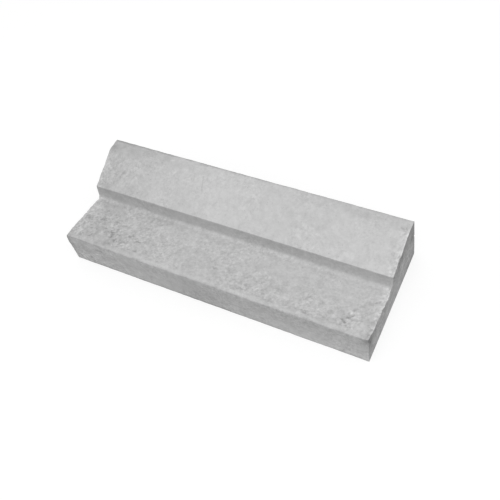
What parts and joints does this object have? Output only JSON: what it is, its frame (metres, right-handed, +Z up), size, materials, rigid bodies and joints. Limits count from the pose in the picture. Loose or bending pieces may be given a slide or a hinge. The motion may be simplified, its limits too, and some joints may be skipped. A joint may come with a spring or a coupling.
{
  "type": "concrete kerb stone",
  "caption": "Cast concrete kerb stone with a channel along its front, a battered step, a sloping face up to a narrow flat top, and square ends that butt together in a line.",
  "frame": {"origin": "middle of the flat base", "axes": "+X along the kerb line, +Y from the road side to the back, +Z up from the bed"},
  "size_m": [1, 0.3867, 0.2],
  "materials": {
    "concrete": "matt cast concrete, pale grey and finely pitted"
  },
  "bodies": {
    "root": {"kerb_stone": "concrete"}
  },
  "joints": []
}
